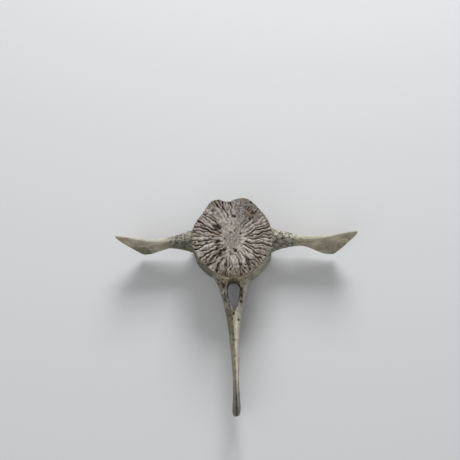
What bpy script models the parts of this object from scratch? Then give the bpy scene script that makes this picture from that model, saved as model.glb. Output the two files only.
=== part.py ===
"""A dolphin's tail vertebra, one piece of bone, lying on the head end of its body with the tail end up.

Metres. +Z is up and runs from the bone's head end to its tail end. +Y is the belly side, so the neural
spine lies along -Y. +X is the animal's left. The origin is the middle of the end that the bone rests on.
"""

import math

import bmesh
import bpy
import numpy as np

NODE = "vertebra"
MM = 0.001

# The body of the vertebra, a short waisted drum
BODY_LENGTH = 28 * MM
RIM_RADIUS = 22.7 * MM
WAIST_DEPTH = 1.7 * MM
RIM_ROUNDING = 0.6 * MM
END_HOLLOW = 0.7 * MM
REST_DISC_RADIUS = 5 * MM

# Swellings and flats round the body: angle from +X in degrees, swelling at the tail end and at the head
# end, and how far it spreads in degrees
SWELLINGS = (
    (117, 1.5 * MM, 0.7 * MM, 8),
    (67, 1.6 * MM, 0.8 * MM, 11),
    (93, -1.8 * MM, -1.4 * MM, 8),
    (141, -1.0 * MM, -0.8 * MM, 13),
    (43, -0.4 * MM, -0.6 * MM, 12),
    (229, -0.9 * MM, -0.6 * MM, 15),
    (250, 0, -1.2 * MM, 12),
    (311, -0.4 * MM, 0.1 * MM, 17),
    (338, 0, 0.9 * MM, 9),
)

# The furrows that run outwards over both ends, where the growth plate was
FURROWS = 34
FURROW_DEPTH = 0.75 * MM
FURROW_START = 0.24
FURROW_FULL = 0.6
FURROW_JITTER = 0.32
FURROW_SEED = 11
COLUMNS_PER_FURROW = 4

# The wing-like transverse processes: values at these shares of the way from root to tip
WING_SHARES = (0, 0.13, 0.24, 0.42, 0.56, 0.72, 0.86, 1)
WING_TAIL_EDGE_Y = tuple(y * MM for y in (5.0, 4.6, 3.6, 1.4, 0.4, 1.2, 2.6, 3.4))
WING_TAIL_EDGE_Z = tuple(z * MM for z in (21.5, 20.6, 19.9, 19.6, 20, 21.2, 22.4, 23.2))
WING_HEAD_EDGE_Y = tuple(y * MM for y in (-5.2, -4.5, -2.4, -0.6, -0.1, -0.2, -0.1, 0.3))
WING_HEAD_EDGE_Z = tuple(z * MM for z in (3.4, 4.0, 4.9, 6.2, 6.0, 4.6, 3.2, 2.4))
WING_THICKNESS = tuple(t * MM for t in (20, 13.2, 9.0, 5.4, 4.1, 3.4, 3.0, 2.6))
WING_EDGE_POWER = 0.6
WING_CORNER_ROUNDING = 0.13
WING_ROOT_X = 12 * MM
# Per side: reach of the tail-side corner, reach of the head-side corner, and how far that corner droops
WING_LEFT = (71.9 * MM, 57.9 * MM, 6.0 * MM)
WING_RIGHT = (67.2 * MM, 51.0 * MM, 3.7 * MM)
WING_DROOP_START = 0.55

# The neural arch and spine: values at these distances from the body's axis, towards the back
SPINE_REACH = 96.6 * MM
SPINE_DISTANCES = tuple(d * MM for d in (14, 20, 24, 30, 36, 42, 48, 54, 66, 80, 91, 96.6))
SPINE_HALF_WIDTH = tuple(w * MM for w in (12.5, 10.6, 8.6, 6.9, 5.6, 4.4, 3.6, 3.0, 2.3, 1.85, 2.35, 2.4))
SPINE_CENTRE = tuple(x * MM for x in (0, 0.1, 0.2, 0.25, 0.3, 0.2, 0.25, 0.25, 0.5, 0.5, 0.5, 0.3))
SPINE_HEAD_EDGE_Z = tuple(z * MM for z in (3, 3, 3.2, 3.8, 4, 4, 4, 4.2, 4.6, 4.6, 4.4, 4.8))
SPINE_TAIL_EDGE_Z = tuple(z * MM for z in (21, 19.6, 18.6, 18.2, 18.8, 19.8, 20.4, 20.8, 21.6, 23, 24.8, 25))
SPINE_WIDEST_SHARE = 0.4
SPINE_LEAN = 0.9 * MM
ARCH_EDGE_POWER = 1.35
SHAFT_EDGE_POWER = 0.8
ARCH_END = 56 * MM
TIP_ROUNDING = 4 * MM

# The canal for the spinal cord, a teardrop that points to the back
CANAL_FLOOR = 22.4 * MM
CANAL_END = 39.0 * MM
CANAL_CENTRE = 0.35 * MM
CANAL_HALF_WIDTH = 3.35 * MM
CANAL_WIDEST_SHARE = 0.24
CANAL_MOUTH_FLARE = 1.14

# The metapophyses, a pair of small lobes on the arch's head-side edge
LOBE_MIDDLE = (2.5 * MM, -40.5 * MM, 5.4 * MM)
LOBE_RADII = (1.3 * MM, 5.5 * MM, 3.6 * MM)
LOBE_SPLAY = 0.16

BONE_COLOUR = (0.33, 0.30, 0.24, 1)
BONE_ROUGHNESS = 0.85


def smooth_curve(knots, values, at):
    """A cubic through the values, whose slope at each knot is that between its neighbours."""
    knots, values, at = (np.asarray(a, float) for a in (knots, values, at))
    slopes = np.gradient(values, knots)
    i = np.clip(np.searchsorted(knots, at, side="right") - 1, 0, len(knots) - 2)
    span = knots[i + 1] - knots[i]
    t = np.clip((at - knots[i]) / span, 0, 1)
    return (
        values[i] * (1 + 2 * t) * (1 - t) ** 2
        + slopes[i] * span * t * (1 - t) ** 2
        + values[i + 1] * t * t * (3 - 2 * t)
        + slopes[i + 1] * span * t * t * (t - 1)
    )


def smooth_step(x):
    x = np.clip(x, 0, 1)
    return x * x * (3 - 2 * x)


def body_radius(angle, z):
    """The drum's radius: round, drawn in at half its length, with the keels and flats of SWELLINGS."""
    along = z / BODY_LENGTH
    radius = RIM_RADIUS - WAIST_DEPTH * np.sin(math.pi * along) ** 1.5
    for degrees, at_tail, at_head, spread in SWELLINGS:
        turn = (np.degrees(angle) - degrees + 180) % 360 - 180
        radius = radius + (at_head + (at_tail - at_head) * along) * np.exp(-0.5 * (turn / spread) ** 2)
    return radius


def column_angles():
    """Angles of the drum's columns, with a furrow on every fourth one, at uneven spacing."""
    draw = np.random.default_rng(FURROW_SEED)
    step = 2 * math.pi / FURROWS
    furrows = (np.arange(FURROWS) + FURROW_JITTER * draw.uniform(-0.5, 0.5, FURROWS)) * step
    following = np.append(furrows[1:], furrows[0] + 2 * math.pi)
    shares = np.arange(COLUMNS_PER_FURROW) / COLUMNS_PER_FURROW
    return (furrows[:, None] + (following - furrows)[:, None] * shares).ravel()


def furrow_profile():
    """How deep each column is cut, from 1 in a furrow to 0 on a ridge, with furrows of uneven depth."""
    draw = np.random.default_rng(FURROW_SEED + 1)
    depths = draw.uniform(0.6, 1.15, FURROWS)
    profile = np.zeros((FURROWS, COLUMNS_PER_FURROW))
    profile[:, 0] = depths
    profile[:, 1] = profile[:, -1] = 0.3 * depths
    return profile.ravel()


def end_ring(angles, cut, share, tail_end):
    """One ring of an end face, at a share of the way from its middle to its rim."""
    z = BODY_LENGTH if tail_end else 0
    inwards = -1 if tail_end else 1
    radius = body_radius(angles, z) * share
    depth = FURROW_DEPTH * cut * smooth_step((share - FURROW_START) / (FURROW_FULL - FURROW_START))
    if tail_end:
        depth = depth + END_HOLLOW * (1 - share**2)
    return np.stack([radius * np.cos(angles), radius * np.sin(angles), z + inwards * depth], 1)


def side_ring(angles, cut, z):
    """One ring of the drum's side. The furrows notch its two rims and run out within 2 mm."""
    from_rim = min(z, BODY_LENGTH - z)
    rounding = RIM_ROUNDING * max(0, 1 - from_rim / RIM_ROUNDING) ** 2
    notch = FURROW_DEPTH * cut * max(0, 1 - from_rim / (2 * MM))
    radius = body_radius(angles, z) - rounding - notch
    return np.stack([radius * np.cos(angles), radius * np.sin(angles), np.full(len(angles), z)], 1)


def body_rings():
    """The drum's rings, from the middle of the tail end over the side to the middle of the head end."""
    angles, cut = column_angles(), furrow_profile()
    tail_shares = (0.12, 0.24, 0.37, 0.5, 0.63, 0.76, 0.88, 0.965)
    head_shares = (0.965, 0.8, 0.6, 0.4, REST_DISC_RADIUS / RIM_RADIUS)
    from_end = [0.5 * MM, 1.6 * MM, 4 * MM, 8 * MM, BODY_LENGTH / 2]
    heights = [BODY_LENGTH - distance for distance in from_end] + from_end[-2::-1]
    rings = [end_ring(angles, cut, share, True) for share in tail_shares]
    rings += [side_ring(angles, cut, z) for z in heights]
    rings += [end_ring(angles, cut, share, False) for share in head_shares]
    return rings


def wing_rings(side, reach, corner_reach, droop, stations=22, points=22):
    """A transverse process: flat sections with round edges, from its head-side edge to its tail-side edge."""
    turn = 2 * math.pi * np.arange(points) / points
    along = np.sign(np.cos(turn)) * np.abs(np.cos(turn)) ** 0.9
    across = np.sign(np.sin(turn)) * np.abs(np.sin(turn)) ** WING_EDGE_POWER
    rings = []
    for s in 1 - (1 - np.linspace(0, 1, stations)) ** 1.15:
        tail_edge = np.array([
            side * (WING_ROOT_X + (reach - WING_ROOT_X) * s),
            smooth_curve(WING_SHARES, WING_TAIL_EDGE_Y, s),
            smooth_curve(WING_SHARES, WING_TAIL_EDGE_Z, s),
        ])
        head_edge = np.array([
            side * (WING_ROOT_X + (corner_reach - WING_ROOT_X) * s),
            smooth_curve(WING_SHARES, WING_HEAD_EDGE_Y, s)
            - droop * smooth_step((s - WING_DROOP_START) / (1 - WING_DROOP_START)),
            smooth_curve(WING_SHARES, WING_HEAD_EDGE_Z, s),
        ])
        end = math.sqrt(max(0, 1 - max(0, (s - 0.95) / 0.05) ** 2))
        tail_edge = tail_edge + (head_edge - tail_edge) * WING_CORNER_ROUNDING * (1 - end)
        chord = (tail_edge - head_edge) / 2 * (0.93 + 0.07 * end)
        normal = np.cross(chord, [side, 0, 0])
        normal *= side * smooth_curve(WING_SHARES, WING_THICKNESS, s) / 2 / np.linalg.norm(normal)
        normal *= 0.55 + 0.45 * end
        middle = (tail_edge + head_edge) / 2
        rings.append(middle + along[:, None] * chord + across[:, None] * normal)
    return rings


def spine_rings(stations=34, points=24):
    """The arch and the spine: sections across a plate that thins from the arch's flanks to the shaft."""
    turn = 2 * math.pi * np.arange(points) / points
    rings = []
    for share in np.linspace(0, 1, stations):
        d = SPINE_DISTANCES[0] + (SPINE_REACH - SPINE_DISTANCES[0]) * (1 - (1 - share) ** 1.12)
        near_tip = max(0, (d - SPINE_REACH + TIP_ROUNDING) / TIP_ROUNDING)
        round_off = math.sqrt(max(0, 1 - (0.98 * near_tip) ** 2))
        half = smooth_curve(SPINE_DISTANCES, SPINE_HALF_WIDTH, d) * (0.25 + 0.75 * round_off)
        centre = smooth_curve(SPINE_DISTANCES, SPINE_CENTRE, d)
        low = smooth_curve(SPINE_DISTANCES, SPINE_HEAD_EDGE_Z, d)
        high = smooth_curve(SPINE_DISTANCES, SPINE_TAIL_EDGE_Z, d)
        widest = low + SPINE_WIDEST_SHARE * (high - low)
        corner = 0.7 + 0.3 * round_off
        blend = smooth_step((d - CANAL_FLOOR) / (ARCH_END - CANAL_FLOOR))
        power = ARCH_EDGE_POWER + (SHAFT_EDGE_POWER - ARCH_EDGE_POWER) * blend
        x = half * np.sign(np.sin(turn)) * np.abs(np.sin(turn)) ** power
        z = widest + np.where(np.cos(turn) > 0, high - widest, widest - low) * corner * np.cos(turn)
        lean = SPINE_LEAN * (z - widest) / (high - low) * blend
        rings.append(np.stack([centre + lean + x, np.full(points, -d), z], 1))
    return rings


def lobe_rings(side, stations=9, points=14):
    """A metapophysis: an egg shape that lies along the arch and splays out from it."""
    turn = 2 * math.pi * np.arange(points) / points
    rings = []
    for t in np.sin(np.linspace(-1, 1, stations) * 1.4):
        size = math.sqrt(1 - t * t)
        x = LOBE_MIDDLE[0] + LOBE_RADII[0] * size * np.cos(turn) + LOBE_SPLAY * LOBE_RADII[1] * t
        y = np.full(points, LOBE_MIDDLE[1] + LOBE_RADII[1] * t)
        z = LOBE_MIDDLE[2] + LOBE_RADII[2] * size * np.sin(turn)
        rings.append(np.stack([side * x, y, z], 1))
    return rings


def canal_rings(points=26):
    """The cutter for the canal: a teardrop outline, a little wider at both mouths."""
    turn = 2 * math.pi * np.arange(points) / points
    share = (1 - np.cos(turn)) / 2
    widest = CANAL_WIDEST_SHARE
    rise = np.sqrt(np.clip(1 - ((widest - share) / widest) ** 2, 0, None))
    fall = 1 - np.clip((share - widest) / (1 - widest), 0, None) ** 1.7
    half = CANAL_HALF_WIDTH * np.where(share < widest, rise, fall) * np.sign(np.sin(turn))
    half = np.where(np.abs(np.sin(turn)) < 1e-9, 0, half)
    depth = CANAL_FLOOR + (CANAL_END - CANAL_FLOOR) * share
    middle = (CANAL_FLOOR + CANAL_END) / 2
    rings = []
    for z, scale in ((-2 * MM, 1.3), (3.5 * MM, CANAL_MOUTH_FLARE), (7 * MM, 1), (15 * MM, 1),
                     (19 * MM, CANAL_MOUTH_FLARE), (27 * MM, 1.3)):
        y = -(middle + (depth - middle) * (1 + (scale - 1) * 0.4))
        rings.append(np.stack([CANAL_CENTRE + half * scale, y, np.full(points, z)], 1))
    return rings


def solid_from_rings(name, rings, first_pole=None, last_pole=None):
    """A closed mesh object: quads between rings, and each end a fan round its pole or one flat face."""
    bm = bmesh.new()
    loops = [[bm.verts.new(p) for p in ring] for ring in rings]
    count = len(loops[0])
    for lower, upper in zip(loops, loops[1:]):
        for i in range(count):
            j = (i + 1) % count
            bm.faces.new((lower[i], lower[j], upper[j], upper[i]))
    for loop, pole in ((loops[0], first_pole), (loops[-1], last_pole)):
        if pole is None:
            bm.faces.new(loop)
            continue
        middle = bm.verts.new(pole)
        for i in range(count):
            bm.faces.new((loop[i], loop[(i + 1) % count], middle))
    bmesh.ops.recalc_face_normals(bm, faces=bm.faces)
    bmesh.ops.triangulate(bm, faces=bm.faces, ngon_method="EAR_CLIP")
    mesh = bpy.data.meshes.new(name)
    bm.to_mesh(mesh)
    bm.free()
    obj = bpy.data.objects.new(name, mesh)
    bpy.context.scene.collection.objects.link(obj)
    return obj


def apply_boolean(target, operation, others):
    """Joins the others to the target, or cuts them from it, and removes them."""
    group = bpy.data.collections.new(operation.lower())
    bpy.context.scene.collection.children.link(group)
    for obj in others:
        bpy.context.scene.collection.objects.unlink(obj)
        group.objects.link(obj)
    modifier = target.modifiers.new(operation.lower(), "BOOLEAN")
    modifier.operation = operation
    modifier.operand_type = "COLLECTION"
    modifier.collection = group
    modifier.solver = "EXACT"
    evaluated = target.evaluated_get(bpy.context.evaluated_depsgraph_get())
    mesh = bpy.data.meshes.new_from_object(evaluated)
    target.modifiers.clear()
    target.data = mesh
    for obj in others:
        bpy.data.objects.remove(obj)
    bpy.data.collections.remove(group)


def keep_largest_surface(obj):
    """Drops every closed surface but the one with the most vertices."""
    bm = bmesh.new()
    bm.from_mesh(obj.data)
    unseen, surfaces = set(bm.verts), []
    while unseen:
        surface, frontier = set(), [unseen.pop()]
        while frontier:
            vertex = frontier.pop()
            surface.add(vertex)
            linked = {edge.other_vert(vertex) for edge in vertex.link_edges} & unseen
            unseen -= linked
            frontier.extend(linked)
        surfaces.append(surface)
    surfaces.sort(key=len)
    for surface in surfaces[:-1]:
        bmesh.ops.delete(bm, geom=list(surface), context="VERTS")
    bm.to_mesh(obj.data)
    bm.free()


def bone_material():
    material = bpy.data.materials.new("weathered_bone")
    material.use_nodes = True
    shader = material.node_tree.nodes["Principled BSDF"]
    shader.inputs["Base Color"].default_value = BONE_COLOUR
    shader.inputs["Roughness"].default_value = BONE_ROUGHNESS
    shader.inputs["Metallic"].default_value = 0
    return material


def main():
    for obj in list(bpy.data.objects):
        bpy.data.objects.remove(obj)
    tail_middle = (0, 0, BODY_LENGTH - END_HOLLOW)
    bone = solid_from_rings(NODE, body_rings(), first_pole=tail_middle)
    left_wing = solid_from_rings("left_wing", wing_rings(1, *WING_LEFT))
    right_wing = solid_from_rings("right_wing", wing_rings(-1, *WING_RIGHT))
    spine = solid_from_rings("spine", spine_rings())
    lobes = [solid_from_rings("lobe", lobe_rings(side)) for side in (1, -1)]
    apply_boolean(bone, "UNION", [left_wing, right_wing, spine, *lobes])
    apply_boolean(bone, "DIFFERENCE", [solid_from_rings("canal", canal_rings())])
    keep_largest_surface(bone)
    bone.data.materials.clear()
    bone.data.materials.append(bone_material())
    bone.data.shade_smooth()
    bone.data.set_sharp_from_angle(angle=math.radians(50))


main()
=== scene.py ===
"""A dry vertebra from a dolphin's tail, as a museum shows it, lying on the head end of its body.

Metres, in the CAD model's frame: +Z runs from the bone's head end up to its tail end, -Y runs along the
neural spine, and +X is the animal's left. The drum-shaped body, two wings, the arch with its spine and two
small lobes are smooth surfaces on grids. They are joined into one skin, faired where they meet, and then the
skin gets its relief: the furrows of the growth plates, the grooves of the arch and spine, pits and pores.
"""

import math

import bmesh
import bpy
import numpy as np
from mathutils import Matrix, Vector


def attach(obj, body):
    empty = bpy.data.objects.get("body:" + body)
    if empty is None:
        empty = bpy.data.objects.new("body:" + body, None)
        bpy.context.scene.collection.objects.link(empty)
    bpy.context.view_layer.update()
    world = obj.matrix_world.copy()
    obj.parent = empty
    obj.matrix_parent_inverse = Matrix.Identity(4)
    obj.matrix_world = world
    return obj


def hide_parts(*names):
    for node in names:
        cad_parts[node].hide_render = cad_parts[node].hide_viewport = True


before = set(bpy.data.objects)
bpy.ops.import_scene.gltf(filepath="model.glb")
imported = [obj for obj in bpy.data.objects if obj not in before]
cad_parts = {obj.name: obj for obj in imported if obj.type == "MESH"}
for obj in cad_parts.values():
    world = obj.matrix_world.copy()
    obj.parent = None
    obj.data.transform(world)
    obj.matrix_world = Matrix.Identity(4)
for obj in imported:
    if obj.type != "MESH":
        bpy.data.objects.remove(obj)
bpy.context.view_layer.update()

MM = 0.001


# Sizes of the smooth surfaces, a hair smaller than the solid's

# The body of the vertebra, a short waisted drum
BODY_LENGTH = 27.95 * MM
RIM_RADIUS = 22.7 * MM
WAIST_DEPTH = 1.7 * MM
RIM_ROUNDING = 0.9 * MM
END_HOLLOW = 0.6 * MM
BODY_COLUMNS = 440

# Swellings and flats round the body: angle from +X in degrees, swelling at the tail end and at the head
# end, and how far it spreads in degrees
SWELLINGS = (
    (117, 1.5 * MM, 0.7 * MM, 8),
    (67, 1.6 * MM, 0.8 * MM, 11),
    (93, -1.8 * MM, -1.4 * MM, 8),
    (141, -1.0 * MM, -0.8 * MM, 13),
    (43, -0.4 * MM, -0.6 * MM, 12),
    (229, -0.9 * MM, -0.6 * MM, 15),
    (250, 0, -1.2 * MM, 12),
    (311, -0.4 * MM, 0.1 * MM, 17),
    (338, 0, 0.9 * MM, 9),
)

# The wing-like transverse processes: values at these shares of the way from root to tip
WING_SHARES = (0, 0.13, 0.24, 0.42, 0.56, 0.72, 0.86, 1)
WING_TAIL_EDGE_Y = tuple(y * MM for y in (5.0, 4.6, 3.6, 1.4, 0.4, 1.2, 2.6, 3.4))
WING_TAIL_EDGE_Z = tuple(z * MM for z in (21.5, 20.6, 19.9, 19.6, 20, 21.2, 22.4, 23.2))
WING_HEAD_EDGE_Y = tuple(y * MM for y in (-5.2, -4.5, -2.4, -0.6, -0.1, -0.2, -0.1, 0.3))
WING_HEAD_EDGE_Z = tuple(z * MM for z in (3.4, 4.0, 4.9, 6.2, 6.0, 4.6, 3.2, 2.4))
WING_THICKNESS = tuple(t * MM for t in (20, 13.2, 9.0, 5.4, 4.1, 3.4, 3.0, 2.6))
WING_EDGE_POWER = 0.6
WING_CORNER_ROUNDING = 0.13
WING_ROOT_X = 12 * MM
# Per side: reach of the tail-side corner, reach of the head-side corner, and how far that corner droops
WING_LEFT = (71.4 * MM, 57.6 * MM, 6.0 * MM)
WING_RIGHT = (66.7 * MM, 50.6 * MM, 3.7 * MM)
WING_DROOP_START = 0.55

# The neural arch and spine: values at these distances from the body's axis, towards the back
SPINE_REACH = 96.6 * MM
SPINE_DISTANCES = tuple(d * MM for d in (14, 20, 24, 30, 36, 42, 48, 54, 66, 80, 91, 96.6))
SPINE_HALF_WIDTH = tuple(w * MM for w in (12.5, 10.6, 8.6, 6.9, 5.6, 4.4, 3.6, 3.0, 2.3, 1.85, 2.35, 2.4))
SPINE_CENTRE = tuple(x * MM for x in (0, 0.1, 0.2, 0.25, 0.3, 0.2, 0.25, 0.25, 0.5, 0.5, 0.5, 0.3))
SPINE_HEAD_EDGE_Z = tuple(z * MM for z in (3, 3, 3.2, 3.8, 4, 4, 4, 4.2, 4.6, 4.6, 4.4, 4.8))
SPINE_TAIL_EDGE_Z = tuple(z * MM for z in (21, 19.6, 18.6, 18.2, 18.8, 19.8, 20.4, 20.8, 21.6, 23, 24.8, 25))
SPINE_WIDEST_SHARE = 0.4
SPINE_LEAN = 0.9 * MM
ARCH_EDGE_POWER = 1.35
SHAFT_EDGE_POWER = 0.8
ARCH_END = 56 * MM
TIP_ROUNDING = 4 * MM

# The metapophyses, a pair of small lobes on the arch's head-side edge
LOBE_MIDDLE = (2.5 * MM, -40.5 * MM, 5.4 * MM)
LOBE_RADII = (1.3 * MM, 5.5 * MM, 3.6 * MM)
LOBE_SPLAY = 0.16

# The canal for the spinal cord, a teardrop that points to the back
CANAL_FLOOR = 22.4 * MM
CANAL_END = 39.0 * MM
CANAL_CENTRE = 0.35 * MM
CANAL_HALF_WIDTH = 3.35 * MM
CANAL_WIDEST_SHARE = 0.24
CANAL_MOUTH_FLARE = 1.14

# How far from a seam the skin is faired
JOINT_FAIRING = 3.0 * MM
CANAL_FAIRING = 1.0 * MM


# Sizes of the relief. A ZONE or an EDGE is a pair for fade(): where a share starts to rise from 0, and over
# what length it reaches 1. With a negative length it rises the other way.

# Regions of the skin, by distance from the body's axis, distance along X, and distance towards the back
BODY_ZONE = (26.5 * MM, -2 * MM)
DRUM_ZONE = (25 * MM, -2 * MM)
WING_ZONE_X = (20 * MM, 3 * MM)
WING_ZONE_Y = (12 * MM, -3 * MM)
WING_ROOT_ZONE = (40 * MM, -9 * MM)
BACK_ZONE_X = (12 * MM, -3 * MM)
BACK_ZONE_AWAY = (20 * MM, 4 * MM)
ARCH_ZONE = (46 * MM, -14 * MM)
SHAFT_ZONE = (40 * MM, 10 * MM)
TIP_ZONE = (74 * MM, 12 * MM)
FACING_ZONE = (0.2, 0.5)

# The growth plate's furrows fan out from a grainy middle. Each main one gives off a side furrow partway.
# A pair of sizes is the range that they are drawn from.
FURROW_CENTRE = (0.6 * MM, -1.2 * MM)
MAIN_FURROWS = 36
FURROW_DEPTH = 1.35 * MM
DEEPEST_SHARE = 1.15
FURROW_HALF_WIDTH = (0.42 * MM, 0.62 * MM)
FURROW_START = (4.8 * MM, 8.5 * MM)
FURROW_ONSET = 2.2 * MM
FURROW_CUT = (0.6, 1.15)
SIDE_FURROW_START = (10 * MM, 16 * MM)
SIDE_FURROW_SWING = 4.5 * MM
SIDE_FURROW_CUT = (0.3, 1.0)
# How far a main furrow may lie off its even place, as a share of the gap
FURROW_SHIFT = 0.24
FURROW_SWAY = 0.42 * MM
# The two waves of the sway: its share, and the range of its wavelength
SWAY_WAVES = ((1, (7 * MM, 13 * MM)), (0.4, (3 * MM, 5 * MM)))
FURROW_WARP = 0.4 * MM
WARP_SIZE = 2.6 * MM
# Breaks in the furrows: the mean depth, how much it varies, and the size of a patch
FURROW_BREAKS = (0.76, 0.44, 1.5 * MM)
# How strong the furrows are round the face, at these angles in degrees, near the middle, further out and at
# the rim
OUTER_ZONE = (10 * MM, 6 * MM)
RIM_ZONE = (17.5 * MM, 3 * MM)
STRENGTH_ANGLES = (0, 30, 50, 75, 100, 125, 145, 180, 215, 235, 255, 285, 305, 330, 360)
INNER_STRENGTH = (1.1, 1.0, 0.5, 0.3, 0.5, 0.6, 0.85, 1.0, 1.0, 0.7, 0.65, 0.7, 0.9, 1.1, 1.1)
OUTER_STRENGTH = (1.2, 1.1, 0.75, 0.5, 0.7, 0.85, 1.0, 1.0, 1.0, 1.05, 1.15, 1.1, 1.15, 1.2, 1.2)
RIM_STRENGTH = (1.1, 1.0, 0.85, 0.9, 1.1, 1.0, 1.0, 0.95, 0.95, 1.1, 1.2, 1.2, 1.1, 1.1, 1.1)
# How strong the side furrows are against the main ones, and how much of the face's warp acts there
SIDE_STRENGTH = (0.75, 0.8, 1.0, 1.25, 1.4, 1.2, 0.9, 0.8, 1.0, 1.2, 1.3, 1.3, 1.2, 0.9, 0.75)
WARP_STRENGTH = (1.0, 1.0, 1.2, 1.2, 1.0, 1.0, 1.0, 1.0, 1.2, 1.8, 1.8, 1.4, 1.3, 1.0, 1.0)
# Near the rim each gap may hold two fine furrows more, at these shares of it
FINE_SHARES = (0.25, 0.75)
FINE_START = (13.5 * MM, 18.5 * MM)
FINE_HALF_WIDTH = (0.26 * MM, 0.36 * MM)
FINE_CUT = (0.25, 0.6)
FINE_STRENGTH = (0.3, 0.35, 0.5, 0.9, 1.0, 0.9, 0.7, 0.5, 0.8, 1.3, 1.5, 1.5, 1.2, 0.6, 0.3)
RIM_NOTCH_REACH = 2.4 * MM
# The grainy middle, and a grainy sector that opens from it: its angle and spread in degrees
GRAINY_MIDDLE = (5.6 * MM, -2.5 * MM)
GRAINY_SECTOR = (64, 17)
GRAINY_SECTOR_START = 9 * MM
# One swelling is worn lower than the face: its angle and spread in degrees, where the wear starts and how
# raggedly, and how deep it is
WORN_SWELLING = (67, 12)
WORN_ZONE = (18.8 * MM, 3 * MM)
WORN_RAGGED = 0.9 * MM
WORN_DEPTH = 0.5 * MM
# A thin ledge runs across the drum's back above the canal, and below it the canal's floor is hollowed. The
# ledge's crest is painted pale as a highlight, and the hollow gets a little painted shade.
LEDGE_HEIGHT = 21 * MM
LEDGE_HALF_WIDTH = 1.4 * MM
LEDGE_RISE = 0.5 * MM
LEDGE_ENDS = ((11.5 * MM, -2.5 * MM), (1.5 * MM, 2 * MM))
CANAL_HOLLOW = 0.7 * MM
HOLLOW_WIDTH_EDGE = (4.4 * MM, -1.6 * MM)
HOLLOW_HEIGHT_EDGES = ((20 * MM, -1.5 * MM), (7 * MM, 4 * MM))
# The spine's tip is hollowed between its two edges, and the hollow's darkening is partly painted shade low on
# the tip's end: x and z of the middle, the radii and the depth
TIP_HOLLOW_MIDDLE = (0.4 * MM, 11 * MM)
TIP_HOLLOW_RADII = (1.4 * MM, 6 * MM)
TIP_HOLLOW_DEPTH = 0.9 * MM

# Round pores: lattice spacing, the share of its cells that hold one, and the range of the radii
LARGE_PORES = {"spacing": 2.1 * MM, "filled": 0.6, "radii": (0.35 * MM, 0.85 * MM), "seed": 41}
SMALL_PORES = {"spacing": 1.1 * MM, "filled": 0.5, "radii": (0.22 * MM, 0.45 * MM), "seed": 42}
FACE_PORES = {"spacing": 1.2 * MM, "filled": 0.4, "radii": (0.22 * MM, 0.45 * MM), "seed": 43}
PORE_DEPTH = 0.55 * MM
FACE_PORE_DEPTH = 0.3 * MM

# The bone's grain: sizes of its patches, and its height on the faces and elsewhere. Elsewhere the skin also
# undulates.
FINE_GRAIN = 0.75 * MM
COARSE_GRAIN = 1.5 * MM
FACE_GRAIN_HEIGHT = 0.14 * MM
SIDE_GRAIN_HEIGHT = 0.06 * MM
UNDULATION = 3.5 * MM
UNDULATION_HEIGHT = 0.16 * MM

# How pits, stains and grooves are bent out of their plain shapes: how far, the size of a patch, and the seed
SLIGHT_BEND = (0.45 * MM, 1.3 * MM, 61)
STRONG_BEND = (0.7 * MM, 2.4 * MM, 71)

# Soil stains on the tail-end face: x, y and radius in mm, and strength
FACE_STAINS = (
    (-8.4, 5.9, 2.6, 1.0), (-7.6, 2.6, 2.2, 0.9), (-8.3, -3.2, 2.0, 0.9), (-7.2, -8.4, 2.6, 1.0),
    (-9.5, -16.0, 4.0, 0.5), (10.3, 13.6, 2.8, 0.9), (12.5, 9.5, 2.0, 0.6), (4.5, -19.5, 3.5, 0.6),
    (9.0, -17.5, 3.0, 0.6), (-20.5, -5.0, 3.0, 0.6), (-19.5, 3.0, 2.0, 0.5), (20.0, 2.0, 2.5, 0.6),
    (19.0, -4.5, 2.5, 0.6), (13.5, -15.0, 3.0, 0.7), (-3.5, -20.5, 3.5, 0.6), (-14.5, -13.0, 3.0, 0.5),
    (0.5, -21.5, 3.0, 0.8), (16.5, -10.5, 2.5, 0.4),
)

# Pits in the tail-end face: x, y, radius and depth in mm
FACE_PITS = (
    (-7.8, 5.7, 1.6, 1.0), (-9.9, 6.6, 0.9, 0.7), (-10.6, 0.6, 0.55, 0.7), (-8.1, -2.4, 1.0, 0.9),
    (-8.5, -5.9, 0.6, 0.8), (-6.6, -7.0, 0.8, 0.7), (-5.0, -6.9, 0.9, 0.9), (-7.0, -9.3, 1.0, 0.9),
    (-4.3, -1.0, 0.6, 0.6), (-1.0, 2.7, 0.6, 0.7), (1.4, 3.4, 0.5, 0.6), (4.7, 2.1, 0.7, 0.8),
    (0.6, -6.8, 0.5, 0.7), (1.7, -7.5, 0.85, 0.9), (1.4, 11.7, 0.8, 1.0), (9.8, 10.5, 0.65, 0.8),
    (6.5, -17.0, 0.55, 0.8), (9.3, -18.2, 0.7, 1.0), (7.3, -15.3, 0.5, 0.7), (10.6, -14.5, 0.5, 0.8),
    (-15.7, 14.7, 0.5, 0.7), (-14.4, 12.9, 0.5, 0.7), (-10.2, 15.1, 0.7, 0.9), (10.8, 19.5, 0.6, 0.8),
    (8.2, 19.1, 0.45, 0.6), (2.3, 20.4, 0.4, 0.5), (11.5, 13.6, 0.8, 0.7), (-14.1, -2.9, 0.55, 0.7),
    (-20.3, -2.7, 0.55, 0.7), (-19.7, -6.3, 0.55, 0.7), (-14.5, -13.7, 0.5, 0.7), (-8.6, -18.3, 0.8, 0.8),
)

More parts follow.
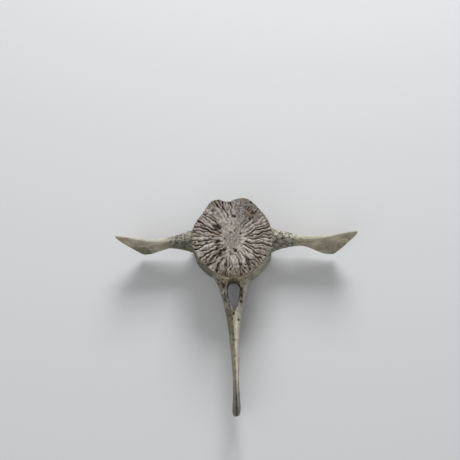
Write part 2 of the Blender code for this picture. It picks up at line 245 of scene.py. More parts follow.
# Grooves on the arch's two legs and on the spine: x, y, half width and depth in mm at points along each
LEG_GROOVES = (
    ((-5.4, -25.2, 0.5, 0.5), (-5.1, -28.6, 0.5, 0.5), (-4.7, -32.0, 0.55, 0.8), (-4.2, -35.5, 0.4, 0.3)),
    ((5.6, -26.0, 0.5, 0.5), (5.5, -29.0, 0.55, 0.8), (4.9, -32.6, 0.5, 0.7), (3.9, -35.8, 0.4, 0.3)),
)
SPINE_GROOVES = (
    ((-1.3, -43.0, 0.3, 0.3), (-1.2, -50.0, 0.35, 0.4), (-1.1, -60.0, 0.35, 0.4), (-1.0, -69.0, 0.35, 0.3),
     (-0.5, -78.0, 0.4, 0.4), (0.1, -86.0, 0.55, 0.6), (0.2, -92.0, 0.75, 0.8), (0.2, -95.6, 0.9, 0.9)),
    ((1.3, -48.0, 0.25, 0.15), (1.0, -56.0, 0.25, 0.2), (1.2, -64.0, 0.25, 0.1)),
)

# Pits, brown stains and bleached patches on the arch and the spine: x, y, radius in mm, and depth or
# strength.
# The run of bleached patches along the arch leg that faces +X is painted light.
BACK_PITS = (
    (-0.2, -40.6, 1.1, 0.9), (3.4, -44.3, 0.8, 0.9), (0.2, -55.9, 0.7, 0.45), (-2.9, -47.0, 0.8, 0.5),
    (-1.0, -48.5, 0.7, 0.45), (-5.6, -24.6, 0.9, 0.8), (4.6, -34.0, 0.6, 0.7), (5.5, -31.0, 0.6, 0.7),
    (0.7, -64.3, 0.7, 0.35), (0.2, -73.0, 0.6, 0.35), (-2.2, -42.0, 0.8, 0.5), (-1.2, -53.0, 0.6, 0.4),
)
BACK_STAINS = (
    (1.0, -42.3, 1.6, 0.6), (-2.7, -38.0, 1.8, 0.7), (-1.6, -43.5, 1.5, 0.7), (1.2, -56.0, 1.2, 0.5),
    (-5.0, -25.5, 1.8, 0.7), (0.3, -62.0, 1.0, 0.5),
)
BACK_BLEACHED_AND_LIT = (
    (-5.4, -28.3, 1.3, 0.8), (-3.8, -36.0, 1.3, 0.7), (7.9, -26.0, 1.8, 1.0), (7.4, -29.0, 1.6, 1.0),
    (6.9, -32.0, 1.5, 1.0), (6.2, -35.0, 1.5, 1.0), (5.3, -38.5, 1.4, 0.8), (4.2, -43.0, 1.2, 0.5),
    (8.9, -22.6, 1.6, 0.8),
)

# How much each kind of weathering shows at the places that weathering() finds
WEATHERING = {
    # The pale share is partly painted light: a highlight on the wings' tail-side edges, and light on the
    # flanks that face +X
    "pale": {
        "lit_wing_edge": 1, "lit_flank": 0.8, "right_leg": 0.3, "left_root": 0.3, "left_drum": 0.7,
        "lump_edge": 0.4,
    },
    # The white share is partly painted light, along the arch leg that faces +X
    "white": {"bleached_and_lit": 1, "lump_edge": 0.15, "left_drum": 0.4},
    "brown": {"above_canal": 1, "hollow": 0.8, "stained": 1, "leg_roots": 1},
    # The green share is partly painted shade, on the spine's flanks that face -X
    "green": {"wing_corner": 1, "shaded_flank": 1, "right_drum": 0.8, "right_root": 0.6, "right_leg": 0.3},
    "specks": {
        "porous_wing": 1, "right_flank": 0.6, "drum_side": 0.55, "arch": 0.4, "wing_corner": 0.35,
        "right_drum": 0.15, "ledge": -1,
    },
    # The ledge's crest, painted pale as a highlight; the specks keep off it
    "ledge": {"ledge": 1},
}


# Shapes

def smooth_curve(knots, values, at):
    """A cubic through the values, whose slope at each knot is that between its neighbours."""
    knots, values, at = (np.asarray(a, float) for a in (knots, values, at))
    slopes = np.gradient(values, knots)
    i = np.clip(np.searchsorted(knots, at, side="right") - 1, 0, len(knots) - 2)
    span = knots[i + 1] - knots[i]
    t = np.clip((at - knots[i]) / span, 0, 1)
    return (
        values[i] * (1 + 2 * t) * (1 - t) ** 2
        + slopes[i] * span * t * (1 - t) ** 2
        + values[i + 1] * t * t * (3 - 2 * t)
        + slopes[i + 1] * span * t * t * (t - 1)
    )


def smooth_step(x):
    """3x^2 - 2x^3, held at 0 below 0 and at 1 above 1."""
    x = np.clip(x, 0, 1)
    return x * x * (3 - 2 * x)


def fade(value, start, length):
    """0 up to start, then smoothly up to 1 over that length. A negative length runs the other way."""
    return smooth_step((value - start) / length)


def turn_from(x, y, degrees):
    """How far the direction of x, y is turned from that angle, from -180 to 180 degrees."""
    return (np.degrees(np.arctan2(y, x)) - degrees + 180) % 360 - 180


def soft_noise(points, size, seed):
    """Noise from -1 to 1: random values on a cubic lattice of that cell size, blended between its corners."""
    table = np.random.default_rng(seed).uniform(-1, 1, (32, 32, 32))
    cell = np.floor(points / size).astype(int)
    t = smooth_step(points / size - cell)
    total = np.zeros(points.shape[:-1])
    for corner in np.ndindex(2, 2, 2):
        weight = np.prod(np.where(corner, t, 1 - t), axis=-1)
        at = (cell + corner) % 32
        total += weight * table[at[..., 0], at[..., 1], at[..., 2]]
    return total


def noise_vectors(points, size, seed):
    """Three of those noises as a vector, to bend a pattern out of its regular shape."""
    return np.stack([soft_noise(points, size, seed + 100 * axis) for axis in (1, 2, 3)], -1)


def body_radius(angle, z):
    """The drum's radius: round, drawn in at half its length, with the keels and flats of SWELLINGS."""
    along = np.clip(z / BODY_LENGTH, 0, 1)
    radius = RIM_RADIUS - WAIST_DEPTH * np.sin(math.pi * along) ** 1.5
    for degrees, at_tail, at_head, spread in SWELLINGS:
        turn = (np.degrees(angle) - degrees + 180) % 360 - 180
        radius = radius + (at_head + (at_tail - at_head) * along) * np.exp(-0.5 * (turn / spread) ** 2)
    return radius


def body_surface():
    """The drum: over the tail-end face, round its rim, down the side, round the other rim, over the head end.

    A point is (k(R - c), z) on a face, and goes round a quarter circle of radius c at a rim, where R is the
    radius at that angle and height, c the rounding and k the share of the way out.
    """
    angle = 2 * math.pi * np.arange(BODY_COLUMNS) / BODY_COLUMNS
    c = RIM_ROUNDING
    face_shares = np.linspace(0.025, 1, 78)
    back_shares = np.linspace(1, 0.05, 26)
    bend = np.linspace(0, math.pi / 2, 6)[1:-1]
    side = BODY_LENGTH / 2 + (BODY_LENGTH / 2 - c) * np.sin(np.linspace(math.pi / 2, -math.pi / 2, 24))
    # One row per ring: share of the way out, outward step round the rim, height
    face = [(k, 0, BODY_LENGTH - END_HOLLOW * (1 - k * k)) for k in face_shares]
    top_rim = [(1, c * math.sin(b), BODY_LENGTH - c + c * math.cos(b)) for b in bend]
    walls = [(1, c, z) for z in side]
    low_rim = [(1, c * math.cos(b), c - c * math.sin(b)) for b in bend]
    back = [(k, 0, 0) for k in back_shares]
    share, out, z = np.array(face + top_rim + walls + low_rim + back).T[:, :, None]
    radius = (body_radius(angle[None, :], z) - c) * share + out
    z = np.broadcast_to(z, radius.shape)
    return np.stack([radius * np.cos(angle), radius * np.sin(angle), z], -1)


def wing_surface(side, reach, corner_reach, droop, stations=96, points=84):
    """A transverse process: flat sections with round edges, each from its head-side to its tail-side edge.

    A section is middle + cos(t)^0.9 * half chord + sin(t)^p * half thickness, with p at WING_EDGE_POWER. The
    two edges are curves from the root to the two corners of the tip. Over the last few percent the chord and
    the thickness draw in along an ellipse, to a blunt end, and the tail-side corner is rounded off.
    """
    turn = 2 * math.pi * np.arange(points) / points
    s = np.linspace(0, 1, stations)
    s = np.where(s < 0.9, s / 0.9 * 0.965, 1 - 0.035 * ((1 - s) / 0.1) ** 1.6)
    tail_edge = np.stack([
        side * (WING_ROOT_X + (reach - WING_ROOT_X) * s),
        smooth_curve(WING_SHARES, WING_TAIL_EDGE_Y, s),
        smooth_curve(WING_SHARES, WING_TAIL_EDGE_Z, s),
    ], 1)
    droop_share = smooth_step((s - WING_DROOP_START) / (1 - WING_DROOP_START))
    head_edge = np.stack([
        side * (WING_ROOT_X + (corner_reach - WING_ROOT_X) * s),
        smooth_curve(WING_SHARES, WING_HEAD_EDGE_Y, s) - droop * droop_share,
        smooth_curve(WING_SHARES, WING_HEAD_EDGE_Z, s),
    ], 1)
    end = np.sqrt(np.clip(1 - (np.clip((s - 0.965) / 0.035, 0, 1) * 0.985) ** 2, 0, None))[:, None]
    corner = 1 - np.sqrt(1 - np.clip((s - 0.94) / 0.06, 0, 1) ** 2)[:, None]
    tail_edge = tail_edge + (head_edge - tail_edge) * WING_CORNER_ROUNDING * corner
    chord = (tail_edge - head_edge) / 2 * (0.93 + 0.07 * end)
    normal = np.cross(chord, [side, 0, 0])
    half_thickness = smooth_curve(WING_SHARES, WING_THICKNESS, s) / 2
    normal *= side * (half_thickness / np.linalg.norm(normal, axis=1))[:, None] * (0.8 + 0.2 * end)
    middle = (tail_edge + head_edge) / 2
    along = (np.sign(np.cos(turn)) * np.abs(np.cos(turn)) ** 0.9)[None, :, None]
    across = (np.sign(np.sin(turn)) * np.abs(np.sin(turn)) ** WING_EDGE_POWER)[None, :, None]
    return middle[:, None] + along * chord[:, None] + across * normal[:, None]


def spine_surface(stations=150, points=100):
    """The arch and the spine: sections across a plate that thins from the arch's flanks to the shaft.

    A section is x = half width * sin(t)^p and z = widest height + cos(t) * the way to either edge. p falls
    from the arch, whose edges are sharp, to the shaft, whose edges are round. The tip is rounded off.
    """
    turn = 2 * math.pi * np.arange(points) / points
    share = np.linspace(0, 1, stations)[:, None]
    d = SPINE_DISTANCES[0] + (SPINE_REACH - SPINE_DISTANCES[0]) * (1 - (1 - share) ** 1.3)
    near_tip = np.clip((d - SPINE_REACH + TIP_ROUNDING) / TIP_ROUNDING, 0, 1)
    round_off = np.sqrt(np.clip(1 - (0.985 * near_tip) ** 2, 0, None))
    half = smooth_curve(SPINE_DISTANCES, SPINE_HALF_WIDTH, d) * (0.22 + 0.78 * round_off)
    centre = smooth_curve(SPINE_DISTANCES, SPINE_CENTRE, d)
    low = smooth_curve(SPINE_DISTANCES, SPINE_HEAD_EDGE_Z, d)
    high = smooth_curve(SPINE_DISTANCES, SPINE_TAIL_EDGE_Z, d)
    widest = low + SPINE_WIDEST_SHARE * (high - low)
    corner = 0.7 + 0.3 * round_off
    blend = smooth_step((d - CANAL_FLOOR) / (ARCH_END - CANAL_FLOOR))
    power = ARCH_EDGE_POWER + (SHAFT_EDGE_POWER - ARCH_EDGE_POWER) * blend
    x = half * np.sign(np.sin(turn)) * np.abs(np.sin(turn)) ** power
    z = widest + np.where(np.cos(turn) > 0, high - widest, widest - low) * corner * np.cos(turn)
    lean = SPINE_LEAN * (z - widest) / (high - low) * blend
    return np.stack([centre + lean + x, np.broadcast_to(-d, x.shape), z], -1)


def lobe_surface(side, stations=24, points=28):
    """A metapophysis: an egg shape that lies along the arch and splays out from it."""
    turn = 2 * math.pi * np.arange(points) / points
    t = np.sin(np.linspace(-1, 1, stations) * 1.5)[:, None]
    size = np.sqrt(1 - t * t)
    x = LOBE_MIDDLE[0] + LOBE_RADII[0] * size * np.cos(turn) + LOBE_SPLAY * LOBE_RADII[1] * t
    y = np.broadcast_to(LOBE_MIDDLE[1] + LOBE_RADII[1] * t, x.shape)
    z = LOBE_MIDDLE[2] + LOBE_RADII[2] * size * np.sin(turn)
    return np.stack([side * x, y, z], -1)


def canal_half_width(share):
    """Half the canal's width at a share of the way from its floor to its far end: a teardrop outline."""
    widest = CANAL_WIDEST_SHARE
    rise = np.sqrt(np.clip(1 - ((widest - share) / widest) ** 2, 0, None))
    fall = 1 - np.clip((share - widest) / (1 - widest), 0, 1) ** 1.7
    return CANAL_HALF_WIDTH * np.where(share < widest, rise, fall)


def canal_surface(stations=60, points=90):
    """What is cut out for the canal: its teardrop outline, a little wider at both mouths."""
    turn = 2 * math.pi * np.arange(points) / points
    share = (1 - np.cos(turn)) / 2
    half = canal_half_width(share) * np.sign(np.sin(turn))
    half = np.where(np.abs(np.sin(turn)) < 1e-9, 0, half)
    depth = CANAL_FLOOR + (CANAL_END - CANAL_FLOOR) * share
    middle = (CANAL_FLOOR + CANAL_END) / 2
    z = np.linspace(-2 * MM, 30 * MM, stations)[:, None]
    scale = smooth_curve(
        [-2 * MM, 3.5 * MM, 7 * MM, 15 * MM, 19 * MM, 30 * MM],
        [1.3, CANAL_MOUTH_FLARE, 1, 1, CANAL_MOUTH_FLARE, 1.35], z)
    x = CANAL_CENTRE + half * scale
    y = -(middle + (depth - middle) * (1 + (scale - 1) * 0.4))
    return np.stack([x, y, np.broadcast_to(z, x.shape)], -1)


# From surfaces to one skin

def closed_object(name, rings, part):
    """A closed mesh: quads from ring to ring, and at each end a fan round the middle of the last ring."""
    count, points = rings.shape[:2]
    here = np.arange(points)
    after = (here + 1) % points
    start = points * np.arange(count - 1)[:, None]
    quads = np.stack([start + here, start + after, start + points + after, start + points + here], -1)
    first, last = count * points, count * points + 1
    top = points * (count - 1)
    fans = np.concatenate([
        np.stack([after, here, np.full(points, first)], 1),
        np.stack([here + top, after + top, np.full(points, last)], 1),
    ])
    corners = np.concatenate([rings.reshape(-1, 3), [rings[0].mean(0), rings[-1].mean(0)]])
    mesh = bpy.data.meshes.new(name)
    mesh.from_pydata(corners.tolist(), [], quads.reshape(-1, 4).tolist() + fans.tolist())
    bm = bmesh.new()
    bm.from_mesh(mesh)
    bmesh.ops.recalc_face_normals(bm, faces=bm.faces)
    bmesh.ops.triangulate(bm, faces=bm.faces)
    bm.to_mesh(mesh)
    bm.free()
    tag = mesh.attributes.new("part", "INT", "FACE")
    tag.data.foreach_set("value", np.full(len(mesh.polygons), part, dtype=np.int32))
    obj = bpy.data.objects.new(name, mesh)
    bpy.context.scene.collection.objects.link(obj)
    return obj


def apply_boolean(target, operation, others):
    """Joins the others to the target, or cuts them from it, and removes them."""
    for other in others:
        modifier = target.modifiers.new(operation.lower(), "BOOLEAN")
        modifier.operation = operation
        modifier.object = other
        modifier.solver = "MANIFOLD"
    evaluated = target.evaluated_get(bpy.context.evaluated_depsgraph_get())
    mesh = bpy.data.meshes.new_from_object(evaluated)
    target.modifiers.clear()
    target.data = mesh
    for other in others:
        bpy.data.objects.remove(other)


def mesh_points(mesh):
    points = np.empty(len(mesh.vertices) * 3)
    mesh.vertices.foreach_get("co", points)
    return points.reshape(-1, 3)


def mesh_normals(mesh):
    normals = np.empty(len(mesh.vertices) * 3)
    mesh.vertices.foreach_get("normal", normals)
    return normals.reshape(-1, 3)


def mesh_edges(mesh):
    edges = np.empty(len(mesh.edges) * 2, dtype=np.int32)
    mesh.edges.foreach_get("vertices", edges)
    return edges.reshape(-1, 2)


def seam_edges(mesh):
    """True for each edge whose two faces come from different parts."""
    part = np.empty(len(mesh.polygons), dtype=np.int32)
    mesh.attributes["part"].data.foreach_get("value", part)
    sides = np.empty(len(mesh.polygons), dtype=np.int32)
    mesh.polygons.foreach_get("loop_total", sides)
    edge_of_loop = np.empty(len(mesh.loops), dtype=np.int32)
    mesh.loops.foreach_get("edge_index", edge_of_loop)
    part_of_loop = np.repeat(part, sides)
    lowest = np.full(len(mesh.edges), 1000)
    highest = np.full(len(mesh.edges), -1000)
    np.minimum.at(lowest, edge_of_loop, part_of_loop)
    np.maximum.at(highest, edge_of_loop, part_of_loop)
    return lowest != highest


def fair(mesh, seams, reach, rounds):
    """Rounds off the seams: each point moves halfway to the mean of its neighbours, over and over, and the
    less so the further it is from a seam."""
    points, edges = mesh_points(mesh), mesh_edges(mesh)
    a, b = edges.T
    away = np.full(len(points), 1.0)
    away[edges[seams].ravel()] = 0
    for _ in range(24):
        length = np.linalg.norm(points[a] - points[b], axis=1)
        step_a, step_b = away[b] + length, away[a] + length
        np.minimum.at(away, a, step_a)
        np.minimum.at(away, b, step_b)
    weight = smooth_step(1 - away / reach) * 0.5
    count = len(points)
    degree = np.bincount(a, minlength=count) + np.bincount(b, minlength=count)
    for _ in range(rounds):
        for axis in range(3):
            value = points[:, axis]
            total = np.bincount(a, value[b], count) + np.bincount(b, value[a], count)
            points[:, axis] = value + weight * (total / degree - value)
    mesh.vertices.foreach_set("co", points.ravel())
    mesh.update()


# Relief

def furrow_depth(points, seed):
    """How deep the growth plate's furrows cut at each point, from 0 on a ridge to about 1 in a furrow.

    Every furrow is a path of angle against distance from FURROW_CENTRE: its own angle plus a slow sway. A
    side furrow starts on its main furrow and swings to the middle of the gap, and the fine ones lie in the
    quarters of it. The cut across a furrow falls off as (1 + (arc / width)^2)^-1.5, which leaves round
    ridges, and the deepest furrow at a point wins.
    """
    draw = np.random.default_rng(seed)
    degrees = np.degrees(np.arctan2(points[:, 1], points[:, 0])) % 360
    rows = (INNER_STRENGTH, OUTER_STRENGTH, RIM_STRENGTH, SIDE_STRENGTH, FINE_STRENGTH, WARP_STRENGTH)
    inner, outer, rim, side, fine, warp = (np.interp(degrees, STRENGTH_ANGLES, row) for row in rows)
    points = points + (FURROW_WARP * warp)[:, None] * noise_vectors(points, WARP_SIZE, seed + 2)
    x, y = points[:, 0] - FURROW_CENTRE[0], points[:, 1] - FURROW_CENTRE[1]
    r = np.hypot(x, y) + 1e-9
    angle = np.arctan2(y, x)
    strength = inner + (outer - inner) * fade(r, *OUTER_ZONE) + (rim - outer) * fade(r, *RIM_ZONE)
    gap = 2 * math.pi / MAIN_FURROWS
    own = (np.arange(MAIN_FURROWS) + draw.uniform(-FURROW_SHIFT, FURROW_SHIFT, MAIN_FURROWS)) * gap
    depth = np.zeros(len(points))
    for k in range(MAIN_FURROWS):
        gap_here = (own[(k + 1) % MAIN_FURROWS] - own[k]) % (2 * math.pi)
        start, side_start = draw.uniform(*FURROW_START), draw.uniform(*SIDE_FURROW_START)
        width, side_width = draw.uniform(*FURROW_HALF_WIDTH, 2)
        power, side_power = draw.uniform(*FURROW_CUT), draw.uniform(*SIDE_FURROW_CUT)
        sway = np.zeros(len(points))
        for share, wavelengths in SWAY_WAVES:
            wavelength, phase = draw.uniform(*wavelengths), draw.uniform(0, 2 * math.pi)
            sway += share * np.sin(2 * math.pi * r / wavelength + phase)
        path = own[k] + FURROW_SWAY * sway / r
        swing = 0.5 * gap_here * fade(r, side_start, SIDE_FURROW_SWING)
        furrows = [
            (path, start, width, power),
            (path + swing, side_start, side_width, side_power * side),
        ]
        for share in FINE_SHARES:
            fine_start, fine_width = draw.uniform(*FINE_START), draw.uniform(*FINE_HALF_WIDTH)
            furrows.append((path + share * gap_here, fine_start, fine_width, draw.uniform(*FINE_CUT) * fine))
        for at, begins, half_width, cut in furrows:
            arc = r * ((angle - at + math.pi) % (2 * math.pi) - math.pi)
            across = (1 + (arc / half_width) ** 2) ** -1.5
            depth = np.maximum(depth, cut * across * fade(r, begins - FURROW_ONSET / 2, FURROW_ONSET))
    mean, spread, size = FURROW_BREAKS
    breaks = mean + spread * soft_noise(points, size, seed + 1)
    return np.clip(depth * strength * breaks, 0, DEEPEST_SHARE)


def spots(points, rows):
    """The highest of several spots seen from above. A row is x, y and radius in mm and a height, and a spot
    falls off from its middle as exp(-0.7 (distance / radius)^3)."""
    total = np.zeros(len(points))
    for x, y, radius, height in rows:
        off = np.hypot(points[:, 0] - x * MM, points[:, 1] - y * MM) / (radius * MM)
        total = np.maximum(total, height * np.exp(-0.7 * off**3))
    return total


def pore_depth(points, size, spacing, filled, radii, seed):
    """Round pores, from 1 in the middle of each to 0 at its edge, as 1 - (distance / radius)^2.

    The cells of a cubic lattice hold one each, at a random place and of a random radius, but only the share
    filled of them do. size makes the pores smaller where it is below 1.
    """
    draw = np.random.default_rng(seed)
    middles = draw.uniform(0, 1, (16, 16, 16, 3))
    radius = draw.uniform(*radii, (16, 16, 16)) * (draw.uniform(0, 1, (16, 16, 16)) < filled)
    cell = np.floor(points / spacing).astype(int)
    depth = np.zeros(len(points))
    for step in np.ndindex(3, 3, 3):
        near = cell + np.array(step) - 1
        at = tuple((near % 16).T)
        off = np.linalg.norm(points - (near + middles[at]) * spacing, axis=1)
        depth = np.maximum(depth, 1 - (off / np.maximum(radius[at] * size, 1e-9)) ** 2)
    return depth


def groove_depth(points, grooves):
    """Depth of grooves seen from above, each a run of straight stretches with a bell curve across it."""
    depth = np.zeros(len(points))
    for groove in grooves:
        for start, end in zip(groove, groove[1:]):
            a, b = np.array(start) * MM, np.array(end) * MM
            line = b[:2] - a[:2]
            t = np.clip((points[:, :2] - a[:2]) @ line / (line @ line), 0, 1)
            off = np.linalg.norm(points[:, :2] - a[:2] - t[:, None] * line, axis=1)
            width, deep = (a[i] + (b[i] - a[i]) * t for i in (2, 3))
            depth = np.maximum(depth, deep * np.exp(-0.5 * (off / width) ** 2))
    return depth


def regions(points, normals):
    """Shares from 0 to 1 of what the skin is at each point, as a dict of arrays."""
    x, y, z = points.T
    side, away = np.abs(x), -y
    inside = fade(np.hypot(x, y), *BODY_ZONE)
    tail_end = fade(z, BODY_LENGTH - RIM_NOTCH_REACH, RIM_NOTCH_REACH) * inside
    head_end = fade(z, RIM_NOTCH_REACH, -RIM_NOTCH_REACH) * inside
    wing = fade(side, *WING_ZONE_X) * fade(np.abs(y), *WING_ZONE_Y)
    back = fade(away, *BACK_ZONE_AWAY) * fade(side, *BACK_ZONE_X)
    return {
        "tail_end": tail_end,
        "head_end": head_end,
        "tail_face": tail_end * fade(normals[:, 2], *FACING_ZONE),
        "head_face": head_end * fade(-normals[:, 2], *FACING_ZONE),
        "wing": wing,
        "root": fade(side, *WING_ROOT_ZONE) * wing,
        "back": back,
        "arch": back * fade(away, *ARCH_ZONE),
        "shaft": back * fade(away, *SHAFT_ZONE),
        "tip": fade(away, *TIP_ZONE),
    }


def weathering(points, normals, zone, worn, ledge, hollow):
    """Where the bone is pale, white, brown, green with algae or full of dark specks: shares from 0 to 1.

    Each share is the sum, over places on the skin, of how far a point lies in the place times the weight that
    WEATHERING gives it. Some shares are partly painted light and shade: pale holds a painted highlight on the
    wings' tail-side edges and painted light on the flanks that face +X, white holds painted light along the
    arch leg that faces +X, green holds painted shade on the spine's flanks that face -X, and ledge holds a
    painted highlight.
    """
    x, y, z = points.T
    side, away = np.abs(x), -y
    wing, root, back = zone["wing"], zone["root"], zone["back"]
    uneven = 1.5 * MM * soft_noise(points, 2.5 * MM, 92)
    is_left = fade(x + 2 * uneven, -8 * MM, 16 * MM)
    is_right = 1 - is_left

    reach = np.where(x > 0, WING_LEFT[0], WING_RIGHT[0])
    share = np.clip((side - WING_ROOT_X) / (reach - WING_ROOT_X), 0, 1)
    below_edge = smooth_curve(WING_SHARES, WING_TAIL_EDGE_Z, share) - z
    # The band along each wing's tail-side edge, painted pale as a highlight
    lit_wing_edge = wing * fade(below_edge + 0.8 * MM * soft_noise(points, 2 * MM, 91), 2.4 * MM, -2.4 * MM)
    wing_corner = wing * fade(z - uneven, 14 * MM, -3 * MM) * fade(side + uneven, 45 * MM, 3 * MM)

    drum_side = (1 - zone["tail_face"]) * (1 - wing) * fade(np.hypot(x, y), *DRUM_ZONE)
    near_back = fade(away, 16 * MM, 3 * MM) * fade(side, 14 * MM, -3 * MM)
    drum_flank = drum_side * (1 - near_back)

    right_flank = back * fade(-normals[:, 0], 0.1, 0.5)
    beyond_arch = fade(away, 33 * MM, 5 * MM)
    on_top = back * fade(normals[:, 2], 0, 0.3)
    place = {
        "lit_wing_edge": lit_wing_edge * (1 - root * (0.75 * is_right + 0.25 * is_left)),
        "wing_corner": wing_corner * np.where(x > 0, 0.45, 1),
        "porous_wing": wing * fade(side, 46 * MM, -20 * MM),
        "left_root": root * is_left,
        "right_root": root * is_right * (1 - lit_wing_edge),
        "drum_side": drum_side,
        "left_drum": drum_flank * is_left,
        "right_drum": drum_flank * is_right,
        "above_canal": drum_side * near_back * fade(z, 17 * MM, 2 * MM),
        "ledge": ledge,
        "hollow": hollow,
        "lump_edge": worn * fade(np.hypot(x, y), 22.5 * MM, MM),
        # The back's flanks that face +X, painted pale as painted light
        "lit_flank": back * fade(normals[:, 0], 0, 0.5) * (1 - zone["tip"]),
        "right_flank": right_flank,
        "right_leg": right_flank * (1 - beyond_arch),
        # The spine's flanks that face -X beyond the arch, painted dark green as painted shade
        "shaded_flank": right_flank * beyond_arch * (1 - 0.65 * fade(away, 50 * MM, 8 * MM)),
        "leg_roots": on_top * (0.8 - 0.2 * is_left) * fade(away - uneven, 27.8 * MM, -3 * MM),
        "stained": on_top * spots(points, BACK_STAINS),
        # Bleached spots; those along the arch leg that faces +X are painted light
        "bleached_and_lit": back * spots(points, BACK_BLEACHED_AND_LIT),
        "arch": zone["arch"],
    }
    return {
        kind: np.clip(sum(weight * place[name] for name, weight in weights.items()), 0, 1)
        for kind, weights in WEATHERING.items()
    }


def bent_points(points, far, size, seed):
    """The points moved about by noise, so that what is laid out in them gets an uneven shape."""
    return points + far * noise_vectors(points, size, seed)


def worn_share(points, ragged, tail_end):
    """How far the worn swelling has sunk below the tail-end face, from 0 to 1."""
    x, y = points[:, 0], points[:, 1]
    angle, spread = WORN_SWELLING
    worn = tail_end * np.exp(-0.5 * (turn_from(x, y, angle) / spread) ** 4)
    return worn * fade(np.hypot(x, y) + WORN_RAGGED * ragged, *WORN_ZONE)


def grainy_share(points):
    """Where the growth faces are grainy: in their middle, and in a sector that opens from it."""
    x, y = points[:, 0] - FURROW_CENTRE[0], points[:, 1] - FURROW_CENTRE[1]
    r = np.hypot(x, y)
    angle, spread = GRAINY_SECTOR
    sector = np.exp(-0.5 * (turn_from(x, y, angle) / spread) ** 2) * fade(r, 0, GRAINY_SECTOR_START)
    return np.maximum(sector, fade(r, *GRAINY_MIDDLE))


def above_canal(points, bent, body_side):
    """The ledge across the drum's back above the canal, and the hollow in the canal's floor."""
    across = np.abs(points[:, 0] - CANAL_CENTRE)
    on_back = body_side * fade(-points[:, 1], 18 * MM, 2 * MM)
    ledge = on_back * np.exp(-0.5 * ((bent[:, 2] - LEDGE_HEIGHT) / LEDGE_HALF_WIDTH) ** 2)
    for end in LEDGE_ENDS:
        ledge = ledge * fade(across, *end)
    hollow = on_back * fade(across, *HOLLOW_WIDTH_EDGE)
    for edge in HOLLOW_HEIGHT_EDGES:
        hollow = hollow * fade(points[:, 2], *edge)
    return ledge, hollow


